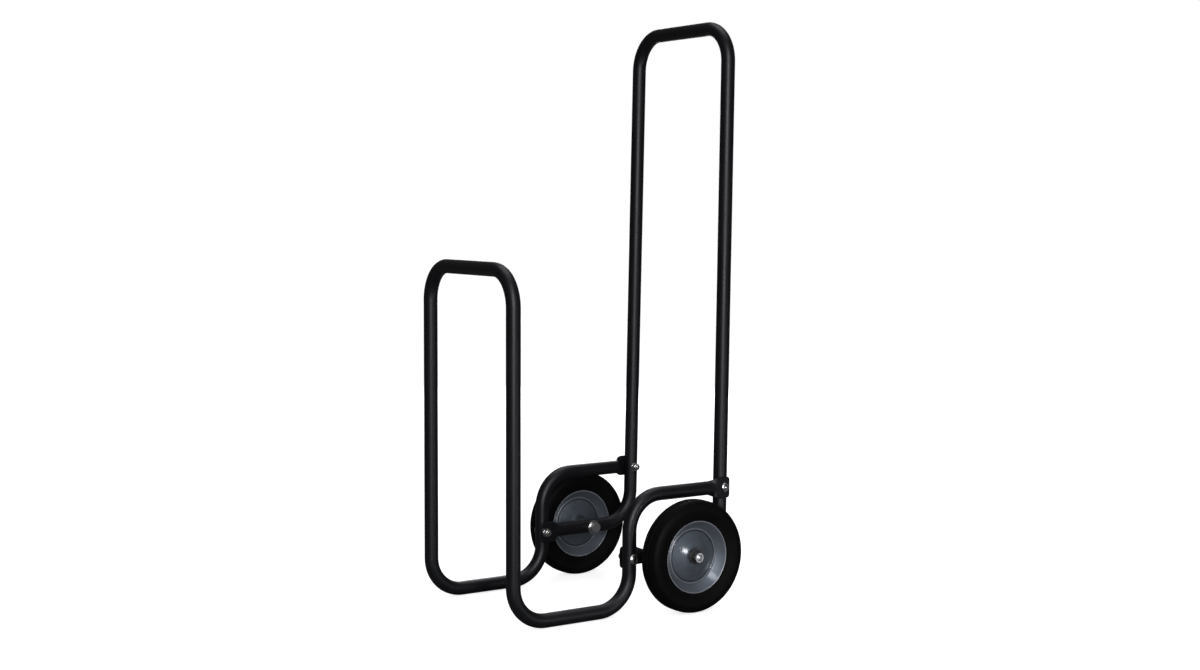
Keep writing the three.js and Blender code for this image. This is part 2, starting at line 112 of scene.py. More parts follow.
# %% [markdown]
# ## Camera
# A cart is best shown from its open side, a little above its middle. The lens is a
# short telephoto, so the uprights stay nearly parallel. A camera could be aimed with a Track To
# constraint, but here its three axes are worked out from yaw, pitch and roll and put
# straight into its matrix, which says exactly where it looks.

# %% Camera
CAMERA_PLACE = Vector((2.598, -1.6745, 0.7267))
YAW = math.radians(56.508)
PITCH = math.radians(4.389)
ROLL = math.radians(0.237)
LENS = 50.945
SENSOR_WIDTH = 36


def camera_axes(yaw, pitch, roll):
    level = Vector((math.cos(yaw), math.sin(yaw), 0))
    forward = Vector((-math.sin(yaw), math.cos(yaw), 0))
    ahead = math.cos(pitch) * forward - math.sin(pitch) * Vector((0, 0, 1))
    upright = level.cross(ahead)
    right = math.cos(roll) * level + math.sin(roll) * upright
    up = math.cos(roll) * upright - math.sin(roll) * level
    return right, up, -ahead


camera_data = bpy.data.cameras.new("shop_camera")
camera_data.lens = LENS
camera_data.sensor_width = SENSOR_WIDTH
camera = bpy.data.objects.new("shop_camera", camera_data)
bpy.context.scene.collection.objects.link(camera)
turn = Matrix(camera_axes(YAW, PITCH, ROLL)).transposed().to_4x4()
camera.matrix_world = Matrix.Translation(CAMERA_PLACE) @ turn
bpy.context.scene.camera = camera
print("camera", [round(v, 3) for v in camera.location], "lens", LENS)

# %% [markdown]
# ## Shader maths
# A finish could be drawn up as a node tree by hand, but such a tree soon becomes hard to
# follow. One small class wraps a socket instead, so that `1 - dust * 0.5` adds its own Math
# nodes, and a single method adds any other node.


# %% A socket that Python can reckon with
class Wire:
    def __init__(self, tree, socket=None):
        self.tree = tree
        self.socket = socket

    def node(self, kind, settings=(), output=0, **sockets):
        made = self.tree.nodes.new(kind)
        for name, value in dict(settings).items():
            setattr(made, name, value)
        for name, value in sockets.items():
            place = made.inputs[int(name[1:]) if name[1:].isdigit() else name.replace("_", " ")]
            if isinstance(value, Wire):
                self.tree.links.new(value.socket, place)
            else:
                place.default_value = value
        return Wire(self.tree, made.outputs[output])

    def maths(self, operation, first, second):
        return self.node("ShaderNodeMath", {"operation": operation}, _0=first, _1=second)

    def __add__(self, other):
        return self.maths("ADD", self, other)

    def __sub__(self, other):
        return self.maths("SUBTRACT", self, other)

    def __rsub__(self, other):
        return self.maths("SUBTRACT", other, self)

    def __mul__(self, other):
        return self.maths("MULTIPLY", self, other)

    __radd__ = __add__
    __rmul__ = __mul__

    def between(self, low, high):
        """0 below low, 1 above high, and a straight climb from one to the other."""
        return self.node("ShaderNodeMapRange", _0=self, _1=low, _2=high)

    def band(self, rise, fall):
        """Climbs to 1 over the first pair of values and drops back over the second pair."""
        return self.between(*rise) * (1 - self.between(*fall))

    def blend(self, first, second):
        """The first colour where this wire is 0, the second where it is 1."""
        settings = {"data_type": "RGBA"}
        return self.node("ShaderNodeMix", settings, output=2, _0=self, _6=first, _7=second)


print("shader maths ready")

# %% [markdown]
# ## Finishes
# Each finish is one function that returns a material. Patterns read Object coordinates:
# every piece stays at the origin, so one metre in the pattern is one metre on the cart, and
# two pieces that touch share it. Noise scales below are therefore counts per metre.


# %% Start a finish
def new_finish(name):
    material = bpy.data.materials.new(name)
    material.use_nodes = True
    tree = material.node_tree
    place = Wire(tree).node("ShaderNodeTexCoord", output="Object")
    return material, place, tree.nodes["Principled BSDF"]


def speckle(place, per_metre, detail=4, rough=0.5):
    return place.node(
        "ShaderNodeTexNoise", Vector=place, Scale=per_metre, Detail=detail, Roughness=rough)


def connect(shader, **sockets):
    for name, value in sockets.items():
        place = shader.inputs[name.replace("_", " ")]
        if isinstance(value, Wire):
            value.tree.links.new(value.socket, place)
        else:
            place.default_value = value


def bumped(height, depth, strength=1.0):
    return height.node("ShaderNodeBump", Height=height, Distance=depth, Strength=strength)


def distance_from_axle(place):
    """How far a point is from the axle's centre line, in metres."""
    kind = "ShaderNodeVectorMath"
    axle = (0, wheel.y, wheel.z)
    centred = place.node(kind, {"operation": "SUBTRACT"}, _0=place, _1=axle)
    flat = place.node(kind, {"operation": "MULTIPLY"}, _0=centred, _1=(0, 1, 1))
    return place.node(kind, {"operation": "LENGTH"}, output=1, _0=flat)


def ripple(along, per_metre):
    """A wave from -1 to 1 along the wire, at a pace in radians per metre."""
    return along.node("ShaderNodeMath", {"operation": "SINE"}, _0=along * per_metre)


print("helpers for finishes ready")

# %% [markdown]
# ### Powder coat
# The tubes are sprayed with black powder that melts in an oven. It cures to a satin skin with
# a fine ripple, like orange peel, and small pits. The bottom rails scuff where they
# drag over a hearth, and the scuffs are paler and duller.


# %% Black powder coat
SCUFF_HEIGHT = 3.5 * MM


def black_powder_coat():
    material, place, shader = new_finish("black_powder_coat")
    peel = speckle(place, 420, 3)
    grit = speckle(place, 1900, 2)
    patches = speckle(place, 9, 3).between(0.35, 0.7)
    height = place.node("ShaderNodeSeparateXYZ", output=2, Vector=place)
    low_down = 1 - height.between(0.0, SCUFF_HEIGHT)
    scuff = low_down * speckle(place, 160, 5, 0.7).between(0.5, 0.68)
    pits = grit.between(0.64, 0.72)
    colour = patches.blend((0.0022, 0.0022, 0.0034, 1), (0.0042, 0.0042, 0.006, 1))
    colour = scuff.blend(colour, (0.09, 0.09, 0.092, 1))
    roughness = 0.40 + patches * 0.06 + pits * 0.08 + scuff * 0.2
    connect(shader, Base_Color=colour, Roughness=roughness, Specular_IOR_Level=0.42)
    connect(shader, Normal=bumped(peel + grit * 0.2, 0.0003, 0.6))
    return material


# %% [markdown]
# ### Rubber
# Black rubber is dull and a little grey with bloom. Moulding leaves fine rings round the
# sidewall. Noise alone could roughen it, but real rings run round the wheel, so the bump
# follows the distance from the axle, up to where the tread begins.


# %% Black rubber
TREAD_STARTS = (0.090, 0.093)
SIDEWALL_PACE = 3900


def black_rubber():
    material, place, shader = new_finish("black_rubber")
    bloom = speckle(place, 26, 4).between(0.35, 0.75)
    grain = speckle(place, 1500, 3)
    radius = distance_from_axle(place)
    wall = 1 - radius.between(*TREAD_STARTS)
    colour = bloom.blend((0.0014, 0.0014, 0.0015, 1), (0.0030, 0.0030, 0.0030, 1))
    roughness = 0.48 + bloom * 0.12 + grain * 0.1
    connect(shader, Base_Color=colour, Roughness=roughness, Specular_IOR_Level=0.10)
    height = grain * 0.4 + ripple(radius, SIDEWALL_PACE) * wall * 0.3
    connect(shader, Normal=bumped(height, 0.0001, 0.5))
    return material


# %% [markdown]
# ### Grey wheel paint
# The discs are sprayed a bluish grey with a little metal in it. A painted highlight lightens
# the rolled lip and the seam's bead, painted shade darkens the crease inside the bead, a
# painted sheen makes the cone paler than the dome, and a mottled ring round the hub is darker
# and duller. Fine mottling breaks up the gloss. A painted image would blur close up, so each
# of these is a band of distances from the axle.


# %% Grey wheel paint
HUB_DARK_ENDS = (0.013, 0.019)
CREASE_SHADE_BAND = ((0.0442, 0.0454), (0.0468, 0.0476))
BEAD_HIGHLIGHT_BAND = ((0.0472, 0.0480), (0.0500, 0.0506))
CONE_SHEEN_STARTS = (0.0504, 0.0520)
LIP_HIGHLIGHT_STARTS = (0.0630, 0.0646)


def grey_disc_paint():
    material, place, shader = new_finish("grey_disc_paint")
    mottle = speckle(place, 70, 5, 0.6).between(0.3, 0.75)
    flake = speckle(place, 2600, 2)
    peel = speckle(place, 380, 3)
    radius = distance_from_axle(place)
    # A mottled ring round the hub is darker, duller and less glossy.
    hub_dark = (1 - radius.between(*HUB_DARK_ENDS)) * speckle(place, 240, 4).between(0.35, 0.6)
    # Painted highlight: the rolled lip and the seam's bead are lightened for the light lines they catch.
    pale = radius.between(*LIP_HIGHLIGHT_STARTS) + radius.band(*BEAD_HIGHLIGHT_BAND) * 0.35
    colour = mottle.blend((0.092, 0.109, 0.130, 1), (0.126, 0.147, 0.173, 1))
    # Painted sheen: the cone is lightened, paler than the dome.
    colour = (radius.between(*CONE_SHEEN_STARTS) * 0.5).blend(colour, (0.215, 0.245, 0.280, 1))
    colour = pale.blend(colour, (0.42, 0.43, 0.45, 1))
    # Painted shade: a dark ring in the crease inside the bead.
    colour = (radius.band(*CREASE_SHADE_BAND) * 0.8).blend(colour, (0.02, 0.021, 0.023, 1))
    colour = hub_dark.blend(colour, (0.03, 0.03, 0.03, 1))
    roughness = 0.40 + mottle * 0.08 + flake * 0.06 + hub_dark * 0.25
    connect(shader, Base_Color=colour, Roughness=roughness, Metallic=0.62)
    connect(shader, Coat_Weight=1 - hub_dark * 0.8, Coat_Roughness=0.13)
    connect(shader, Normal=bumped(peel + flake * 0.2, 0.0001, 0.4))
    return material


# %% [markdown]
# ### Bright zinc
# Bolts, nuts and washers are zinc plated: bright and bluish white, with a faint yellow
# bloom in patches and tiny tool marks. The axle nuts and their washers are made darker and
# duller, and the bolt's cropped end is bare and lighter, partly as a painted highlight. The
# nuts could have a finish of their own, but the darkening doesn't stop where a piece does, so it
# is laid on by place: by how far out a point is along the axle and how far from its centre line.


# %% Bright zinc
DARK_NUT_STARTS = (0.1975, 0.1985)
DARK_NUT_BAND = ((0.0060, 0.0064), (0.0150, 0.0160))
BOLT_END_STARTS = (0.2127, 0.2132)


def bright_zinc():
    material, place, shader = new_finish("bright_zinc")
    bloom = speckle(place, 190, 4).between(0.35, 0.7)
    marks = speckle(place, 1400, 5, 0.7)
    across = place.node("ShaderNodeSeparateXYZ", output=0, Vector=place)
    outward = across.node("ShaderNodeMath", {"operation": "ABSOLUTE"}, _0=across)
    # The axle nuts and their washers, out along the axle, are darkened and dulled.
    nut_zone = outward.between(*DARK_NUT_STARTS) * distance_from_axle(place).band(*DARK_NUT_BAND)
    darkened = nut_zone * (0.8 + speckle(place, 420, 5, 0.7).between(0.35, 0.65) * 0.2)
    # The bolt's cropped end is bare and rougher, and its lighter colour is partly a painted highlight.
    cut_end_and_highlight = outward.between(*BOLT_END_STARTS)
    colour = bloom.blend((0.60, 0.62, 0.66, 1), (0.64, 0.61, 0.53, 1))
    colour = darkened.blend(colour, (0.010, 0.009, 0.008, 1))
    colour = cut_end_and_highlight.blend(colour, (0.86, 0.87, 0.88, 1))
    roughness = 0.15 + bloom * 0.08 + marks * 0.08 + darkened * 0.2 + cut_end_and_highlight * 0.22
    connect(shader, Base_Color=colour, Roughness=roughness, Metallic=1 - darkened * 0.5)
    connect(shader, Normal=bumped(marks, 0.00006, 0.5))
    return material


# %% [markdown]
# ### Plain steel and nylon
# The hub tube and the spacer are bare drawn steel, turned to length, so they carry fine rings
# round the axle and a touch of rust brown. The rings are a wave along the axle, because noise
# has no direction. The bushing is plain nylon, which lets a little light into itself.


# %% Plain steel and white nylon
LATHE_PACE = 16000


def plain_steel():
    material, place, shader = new_finish("plain_steel")
    across = place.node("ShaderNodeSeparateXYZ", output=0, Vector=place)
    rust = speckle(place, 130, 5, 0.65).between(0.56, 0.78)
    colour = rust.blend((0.30, 0.31, 0.32, 1), (0.16, 0.09, 0.05, 1))
    roughness = 0.34 + rust * 0.35 + speckle(place, 900) * 0.1
    connect(shader, Base_Color=colour, Roughness=roughness, Metallic=1 - rust * 0.7)
    height = ripple(across, LATHE_PACE) * 0.4 + speckle(place, 1100)
    connect(shader, Normal=bumped(height, 0.00004, 0.5))
    return material


def white_nylon():
    material, place, shader = new_finish("white_nylon")
    cloud = speckle(place, 90, 3)
    colour = cloud.blend((0.56, 0.55, 0.50, 1), (0.66, 0.65, 0.61, 1))
    connect(shader, Base_Color=colour, Roughness=0.38 + cloud * 0.15, Subsurface_Weight=0.15)
    connect(shader, Normal=bumped(speckle(place, 1200), 0.00005, 0.4))
    return material


ALL_FINISHES = (
    black_powder_coat, black_rubber, grey_disc_paint, bright_zinc, plain_steel, white_nylon)
FINISHES = {made.__name__: made() for made in ALL_FINISHES}
print("finishes:", ", ".join(FINISHES))

# %% [markdown]
# ## Modelling helpers
# An operator works on whatever is selected, and the frame's solids arrive selected. So each
# piece starts with nothing selected, and each step selects what it needs by its place. A
# finished piece has its place in its mesh, and its object sits at the origin. Recalculated
# normals can end up inward on a thin dish, so the piece's volume has the last word on them.


# %% Helpers for working in edit mode
MERGE_WITHIN = 0.002 * MM
SMOOTH_ANGLE = 40
CORNER_SMOOTH_ANGLE = 30


def nothing_selected():
    if bpy.context.object and bpy.context.object.mode == "EDIT":
        bpy.ops.object.mode_set(mode="OBJECT")
    bpy.ops.object.select_all(action="DESELECT")
    bpy.context.tool_settings.mesh_select_mode = (True, False, False)


def select_faces(piece, test):
    bpy.ops.object.mode_set(mode="EDIT")
    bpy.ops.mesh.select_mode(type="FACE")
    bpy.ops.mesh.select_all(action="DESELECT")
    bpy.ops.object.mode_set(mode="OBJECT")
    for face in piece.data.polygons:
        face.select = test(face.center)
    bpy.ops.object.mode_set(mode="EDIT")


def extrude(step):
    bpy.ops.mesh.extrude_region_move(TRANSFORM_OT_translate={"value": tuple(step)})


def enclosed(piece):
    """The volume inside a closed piece; below zero when its faces look inward."""
    piece.data.calc_loop_triangles()
    points = piece.data.vertices
    total = 0
    for triangle in piece.data.loop_triangles:
        first, second, third = (points[k].co for k in triangle.vertices)
        total += first.dot(second.cross(third)) / 6
    return total


def settle(piece, smooth_angle=SMOOTH_ANGLE):
    """Ends work on a piece: place in the mesh, faces outward, smooth where it is round."""
    nothing_selected()
    piece.select_set(True)
    bpy.context.view_layer.objects.active = piece
    bpy.ops.object.transform_apply(location=True, rotation=True, scale=True)
    bpy.ops.object.mode_set(mode="EDIT")
    bpy.ops.mesh.select_all(action="SELECT")
    bpy.ops.mesh.remove_doubles(threshold=MERGE_WITHIN)
    bpy.ops.mesh.normals_make_consistent(inside=False)
    bpy.ops.object.mode_set(mode="OBJECT")
    if enclosed(piece) < 0:
        bpy.ops.object.mode_set(mode="EDIT")
        bpy.ops.mesh.flip_normals()
        bpy.ops.object.mode_set(mode="OBJECT")
    bpy.ops.object.shade_smooth_by_angle(angle=math.radians(smooth_angle))
    return piece


def finish_piece(piece, node, finish, body):
    piece.data.materials.clear()
    piece.data.materials.append(FINISHES[finish])
    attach(piece, body)
    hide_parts(node)


def mirrored(piece, name, centre, smooth_angle=SMOOTH_ANGLE):
    """A copy turned left for right about the centre, with a mesh of its own."""
    nothing_selected()
    copy = piece.copy()
    copy.data = piece.data.copy()
    copy.name = name
    bpy.context.scene.collection.objects.link(copy)
    copy.select_set(True)
    bpy.context.view_layer.objects.active = copy
    bpy.ops.object.mode_set(mode="EDIT")
    bpy.ops.mesh.select_all(action="SELECT")
    bpy.ops.transform.resize(value=(-1, 1, 1), center_override=centre)
    return settle(copy, smooth_angle)


def finish_pair(piece, node, finish, body="frame"):
    """Gives the near piece its finish, and makes and finishes its far twin."""
    other = mirrored(piece, piece.name.replace("_near", "_far"), (0, 0, 0))
    for one, side in ((piece, "near"), (other, "far")):
        rides_on = body if body == "frame" else f"{body}_{side}"
        finish_piece(one, f"{node}_{side}", finish, rides_on)
    print(piece.name, "and its twin:", len(piece.data.polygons), "faces each")


# %% [markdown]
# ## Bent tubes
# A tube bender starts with a straight tube and pulls it round a die. The same two moves
# make the mesh: a circle is extruded along each straight run and spun round each bend's
# centre. A curve with a bevel would be quicker, but its rings bunch up at a tight bend, and
# these stay square to the tube.

# %% Bend a tube
TUBE_SIDES = 48
BEND_STEPS = 18
CORNER_RINGS = 6
RING_STEP = 1.6 * MM
PRESSED_END = FLAT_LENGTH + PRESS_LENGTH


def end_rings():
    """Distances from a tube's end of the rings that its pressed shape needs."""
    quarter = [0.5 * math.pi * k / CORNER_RINGS for k in range(CORNER_RINGS)]
    corner = [FLAT_CORNER * (1 - math.cos(angle)) for angle in quarter]
    length = PRESSED_END - FLAT_CORNER
    count = math.ceil(length / RING_STEP)
    return corner + [FLAT_CORNER + length * k / count for k in range(count + 1)]


def draw_straight(start, end, direction, rings):
    """Extrudes the open ring from start to end, with a ring at each of these distances."""
    done = 0.0
    length = (end - start).length
    for distance in rings + [length]:
        if distance > done:
            extrude(direction * (distance - done))
            done = distance


def bent_tube(name, corners):
    directions = [(b - a).normalized() for a, b in zip(corners, corners[1:])]
    facing = directions[0].to_track_quat("Z", "Y").to_euler()
    nothing_selected()
    bpy.ops.mesh.primitive_circle_add(
        vertices=TUBE_SIDES, radius=TUBE_RADIUS, location=corners[0], rotation=facing)
    piece = bpy.context.object
    piece.name = name
    bpy.ops.object.mode_set(mode="EDIT")
    bpy.ops.mesh.select_all(action="SELECT")
    bpy.ops.mesh.edge_face_add()
    here = corners[0]
    rings = end_rings()
    for corner, inward, outward in zip(corners[1:], directions, directions[1:]):
        angle = inward.angle(outward)
        axis = inward.cross(outward).normalized()
        start = corner - inward * BEND_RADIUS * math.tan(angle / 2)
        centre = start + axis.cross(inward) * BEND_RADIUS
        draw_straight(here, start, inward, rings)
        steps = round(BEND_STEPS * angle / (math.pi / 2))
        bpy.ops.mesh.spin(steps=steps, angle=-angle, center=centre, axis=axis)
        here = corner + outward * BEND_RADIUS * math.tan(angle / 2)
        rings = []
    length = (corners[-1] - here).length
    draw_straight(here, corners[-1], directions[-1], sorted(length - d for d in end_rings()))
    return settle(piece)


print("rings near each end:", len(end_rings()))

# %% [markdown]
# ### Pressed ends
# Where a tube is bolted to the other one, a press has squeezed it flat. The tube's girth
# can't stretch, so the flat is as wide as half the girth and each long edge is a tight fold.
# Operators move a whole ring alike, but a press moves each point of a ring differently, so
# this step is a short function on the points: each goes to its place along the flat section,
# by as much as the press has closed there.


# %% Press the ends flat
FOLD_LEAD = 0.3


def eased(share):
    share = min(max(share, 0.0), 1.0)
    return share * share * (3 - 2 * share)


def flat_half_height(distance):
    """Half the height of the flat, less its rounded corner near the tube's end."""
    into_corner = min(max(FLAT_CORNER - distance, 0.0), FLAT_CORNER)
    return FLAT_HEIGHT / 2 - FLAT_CORNER + math.sqrt(FLAT_CORNER**2 - into_corner**2)


def folded(share, half_height):
    """A point of the flat section: share runs from -1 to 1, from fold to fold."""
    fold = FLAT_THICKNESS / 2
    straight = half_height - fold
    along = abs(share) * (straight + fold * math.pi / 2)
    if along <= straight:
        return fold, math.copysign(along, share)
    angle = (along - straight) / fold
    return fold * math.cos(angle), math.copysign(straight + fold * math.sin(angle), share)


def press_ends(piece, tube_x, tube_z, flat_x, distance_from_end):
    """Presses both ends of a tube; the top and bottom close a little before the middle."""
    for point in piece.data.vertices:
        distance = distance_from_end(point.co.y)
        up = point.co.z - tube_z
        if distance < PRESSED_END - 0.01 * MM and abs(up) < TUBE_RADIUS * 1.01:
            side = math.copysign(1, point.co.x)
            out = abs(point.co.x) - tube_x
            round_share = math.atan2(up, abs(out)) / (math.pi / 2)
            fold_out, fold_up = folded(round_share, flat_half_height(max(distance, 0)))
            flat_out = flat_x - tube_x + math.copysign(fold_out, out)
            pressed = (PRESSED_END - distance) / PRESS_LENGTH
            closed = eased(pressed / (1 - FOLD_LEAD * abs(round_share)))
            point.co.x = side * (tube_x + out + (flat_out - out) * closed)
            point.co.z = tube_z + up + (fold_up - up) * eased(pressed)
    piece.data.update()


def both_sides(corners):
    return corners + [Vector((-c.x, c.y, c.z)) for c in reversed(corners)]


# %% [markdown]
# ### The cradle frame
# One tube makes the whole cradle: it starts at a rear joint, runs forward as the step,
# drops as the riser, runs forward as the bottom rail, climbs to the hoop, and comes back the
# same way on the other side.

# %% Cradle frame
step_z = rear.z
hoop_y = cradle_low.y + TUBE_RADIUS
hoop_z = cradle_high.z - TUBE_RADIUS
step_end_y = cradle_high.y

cradle = bent_tube("cradle_tube", both_sides([
    Vector((cradle_x, step_end_y, step_z)),
    Vector((cradle_x, riser.y, step_z)),
    Vector((cradle_x, riser.y, TUBE_RADIUS)),
    Vector((cradle_x, hoop_y, TUBE_RADIUS)),
    Vector((cradle_x, hoop_y, hoop_z)),
]))
press_ends(cradle, cradle_x, step_z, step_flat_x, lambda y: step_end_y - y)
finish_piece(cradle, "cradle_frame", "black_powder_coat", "frame")
print("cradle tube:", len(cradle.data.polygons), "faces")

# %% [markdown]
# ### The handle frame
# The second tube starts at the riser joint, runs back as the axle rail, and turns up into
# the rear leg. The legs lean back and draw together a little toward the grip.

# %% Handle frame
rail_z = wheel.z
rail_end_y = handle_low.y
grip_y = handle_high.y - TUBE_RADIUS
grip_z = handle_high.z - TUBE_RADIUS
lean = (grip_y - rear.y) / (grip_z - step_z)
leg_foot_y = rear.y - lean * (step_z - rail_z)

handle = bent_tube("handle_tube", both_sides([
    Vector((rail_x, rail_end_y, rail_z)),
    Vector((rail_x, leg_foot_y, rail_z)),
    Vector((rail_x - GRIP_DRAW_IN, grip_y, grip_z)),
]))
press_ends(handle, rail_x, rail_z, rail_flat_x, lambda y: y - rail_end_y)
finish_piece(handle, "handle_frame", "black_powder_coat", "frame")
print("handle tube:", len(handle.data.polygons), "faces")

# %% [markdown]
# ## Turned pieces
# Tyres, discs, washers and bolts are all round about the axle's direction. A profile is drawn
# by extruding one point from corner to corner, and then spun a full turn. The Screw modifier
# could do it too, but the spin is the move that a lathe makes, and its steps can be chosen
# to land on the tread blocks.

# %% Turn a profile about the X direction
ROUND_SIDES = 96


def arc(centre_x, centre_r, size, start, end, steps):
    """Points of an arc as (x, radius), from one angle to another in degrees."""
    points = []
    for k in range(steps + 1):
        angle = math.radians(start + (end - start) * k / steps)
        points.append((centre_x + size * math.cos(angle), centre_r + size * math.sin(angle)))
    return points


def turned(name, profile, centre, sides=ROUND_SIDES):
    """A closed ring or disc; the profile lists (x, radius) in mm from the centre."""
    places = [Vector((centre.x + x * MM, centre.y, centre.z + r * MM)) for x, r in profile]
    if min(r for x, r in profile) > 0:
        places.append(places[0])
    nothing_selected()
    bpy.ops.mesh.primitive_plane_add(size=MM, location=places[0])
    piece = bpy.context.object
    piece.name = name
    bpy.ops.object.mode_set(mode="EDIT")
    bpy.ops.mesh.select_all(action="SELECT")
    bpy.ops.mesh.merge(type="CENTER")
    for here, there in zip(places, places[1:]):
        extrude(there - here)
    bpy.ops.mesh.select_all(action="SELECT")
    bpy.ops.mesh.remove_doubles(threshold=MERGE_WITHIN)
    bpy.ops.mesh.select_all(action="SELECT")
    bpy.ops.mesh.spin(steps=sides, angle=2 * math.pi, center=centre, axis=(1, 0, 0))
    return settle(piece)


def joined(piece, other, operation):
    """The Boolean of two closed pieces; the second one is used up."""
    nothing_selected()
    bpy.context.view_layer.objects.active = piece
    piece.select_set(True)
    cut = piece.modifiers.new(operation.lower(), "BOOLEAN")
    cut.operation = operation
    cut.object = other
    cut.solver = "EXACT"
    bpy.ops.object.modifier_apply(modifier=cut.name)
    bpy.data.objects.remove(other)
    return settle(piece, CORNER_SMOOTH_ANGLE)


# %% [markdown]
# ### Tyres
# The tyre sits in the groove between the discs. Its sidewall bulges, a rib runs round the
# shoulder, and the crown carries five rows of small blocks. The blocks could be a bump map,
# but they show against a pale floor, so they are real: each face in a row is inset and
# raised. Lengths from here on are in mm, as a maker's drawing gives them.

# %% Tyre
SEAM_RADIUS = 50
SHEET = 1.5
RIM_DEPTH = 14.6
TYRE_GAP = 0.6
TYRE_RADIUS = 101.6
TYRE_HALF_WIDTH = 22.2
CROWN_HALF_WIDTH = 7.2
SHOULDER = TYRE_HALF_WIDTH - CROWN_HALF_WIDTH
WALL_ANGLES = (2, 9, 16, 23, 30, 36)
OUTER_ROW = (55, 69)
INNER_ROW = (72, 86)
MIDDLE_ROW_EDGE = 3.6
BLOCK_HEIGHT = 0.9
BLOCK_INSET = 0.45
BLOCK_RISE = 0.75
BLOCKS_ROUND = 108
CROWN_DEPTH = 4
TYRE_SMOOTH_ANGLE = 35
cone_back = SEAM_RADIUS + (math.sqrt(2) - 1) * SHEET
tyre_seat = cone_back + TYRE_GAP


def shoulder_point(angle, sunk):
    """A point round the shoulder, at an angle up from the side, this far under its skin."""
    size = SHOULDER - sunk
    across = CROWN_HALF_WIDTH + size * math.cos(math.radians(angle))
    return across, TYRE_RADIUS - SHOULDER + size * math.sin(math.radians(angle))


def tyre_half():
    """Right half of the tyre's outline, from its inner ring to the middle of the crown."""
    foot = [(2, tyre_seat + 2), (14.2, tyre_seat + 14.2), (15.6, tyre_seat + 14.4),
            (16.9, tyre_seat + 15.4)]
    wall = [(17.7, 70.2), (18.9, 73.0), (20.3, 77.0), (21.4, 81.2), (22.0, 84.6)]
    side = [shoulder_point(angle, 0.15) for angle in WALL_ANGLES]
    rib = [shoulder_point(38, 0.9), shoulder_point(42, 0.9), shoulder_point(44, 0), shoulder_point(50, 0)]
    tread = [shoulder_point(angle, BLOCK_HEIGHT) for angle in (52,) + OUTER_ROW + INNER_ROW]
    crown = [(edge, TYRE_RADIUS - BLOCK_HEIGHT) for edge in (MIDDLE_ROW_EDGE + 1, MIDDLE_ROW_EDGE)]
    return foot + wall + side + rib + tread + crown


def on_block(centre):
    """Whether a face of the crown is one that carries a tread block."""
    x = abs(centre.x - wheel.x) / MM
    radius = math.hypot(centre.y - wheel.y, centre.z - wheel.z) / MM
    sides = [sorted(shoulder_point(angle, 0)[0] for angle in row) for row in (OUTER_ROW, INNER_ROW)]
    rows = sides + [(0, MIDDLE_ROW_EDGE / 2)]
    return radius > TYRE_RADIUS - CROWN_DEPTH and any(low - 0.2 < x < high + 0.2 for low, high in rows)


half = tyre_half()
tyre = turned("tyre_shown_near", half + [(-x, r) for x, r in reversed(half)], wheel, BLOCKS_ROUND)
select_faces(tyre, on_block)
bpy.ops.mesh.inset(thickness=BLOCK_INSET * MM, use_individual=True)
bpy.ops.transform.shrink_fatten(value=BLOCK_RISE * MM)
settle(tyre, TYRE_SMOOTH_ANGLE)
radii = [math.hypot(p.co.y - wheel.y, p.co.z - wheel.z) / MM for p in tyre.data.vertices]
print("tyre radius", round(max(radii), 2), "mm, inner", round(min(radii), 2), "mm")
finish_pair(tyre, "tyre", "black_rubber", "wheel")

# %% [markdown]
# ### Wheel discs
# Two pressed discs meet back to back. From the hub outward, each has a low raised boss, a
# domed middle, a groove, a bead where the two are spot welded, a cone that carries the tyre
# and is very slightly bowl-shaped, and a rolled lip. The welds leave six shallow oval dents in
# the bead. Bump could draw the dents, but their walls have to catch the light, so faces of
# the bead are inset and pushed in. The inner disc is the outer one mirrored at the seam.

# %% Wheel discs
DISC_SIDES = 120
DISC_SMOOTH_ANGLE = 50
HUB_HOLE = 11.3
BOSS_RADIUS = 18
BOSS_STEP = 0.4
DOME_RISE = 6.75
DOME_EDGE = 45
DOME_RADII = (HUB_HOLE, 12.2, 16.8, 17.4, 17.8, 18.2, 18.6, 19.2, 21, 25, 30, 35, 39, 42, 43.6, 44.6)
SLOPE_AT_BOSS = math.tan(math.radians(9.5))
GROOVE = ((-0.22, 45.2), (-0.4, 45.8), (-0.4, 46.4), (-0.2, 46.9))
BEAD = ((0.2, 47.25), (0.4, 47.45), (0.5, 47.75), (0.5, 49.75), (0.38, 50.0), (0.14, 50.22))
FILLET_START = 50.2
FILLET_SIZE = 1.3
BOWL_START = 43
BOWL_END = 50
LIP_SIZE = 1.0
WELDS = 6
FIRST_WELD = math.radians(55)
WELD_HALF_ANGLE = math.radians(7.7)
WELD_RADII = (48, 49.5)
WELD_STEPS = ((0.08, 0), (0.3, 0.3), (0.4, 0.28))
back_x = SEAT_GAP / MM / 2
face_x = back_x + SHEET
lip_x = back_x + RIM_DEPTH + 0.2
lip_r = cone_back + RIM_DEPTH - LIP_SIZE
dome_width = DOME_EDGE - BOSS_RADIUS
slope_at_ring = 2 * (DOME_RISE - BOSS_STEP) / dome_width - SLOPE_AT_BOSS


def dome(radius):
    """The bell of the middle: its slope grows evenly from the boss out to the ring."""
    out = max(radius - BOSS_RADIUS, 0)
    fall = SLOPE_AT_BOSS * out + (slope_at_ring - SLOPE_AT_BOSS) * out**2 / (2 * dome_width)
    step = BOSS_STEP * eased((radius - BOSS_RADIUS + 0.8) / 1.6)
    return face_x + DOME_RISE - step - fall


def bowl(start, end_r):
    """The cone's hollow front: an arc from a point up to a radius, between its two slopes."""
    chord = (end_r - start[1]) / math.cos(math.radians((BOWL_START + BOWL_END) / 2))
    size = chord / math.radians(BOWL_END - BOWL_START)
    centre_x = start[0] + size * math.cos(math.radians(BOWL_START))
    centre_r = start[1] - size * math.sin(math.radians(BOWL_START))
    return arc(centre_x, centre_r, size, 180 - BOWL_START, 180 - BOWL_END, 6)[1:]


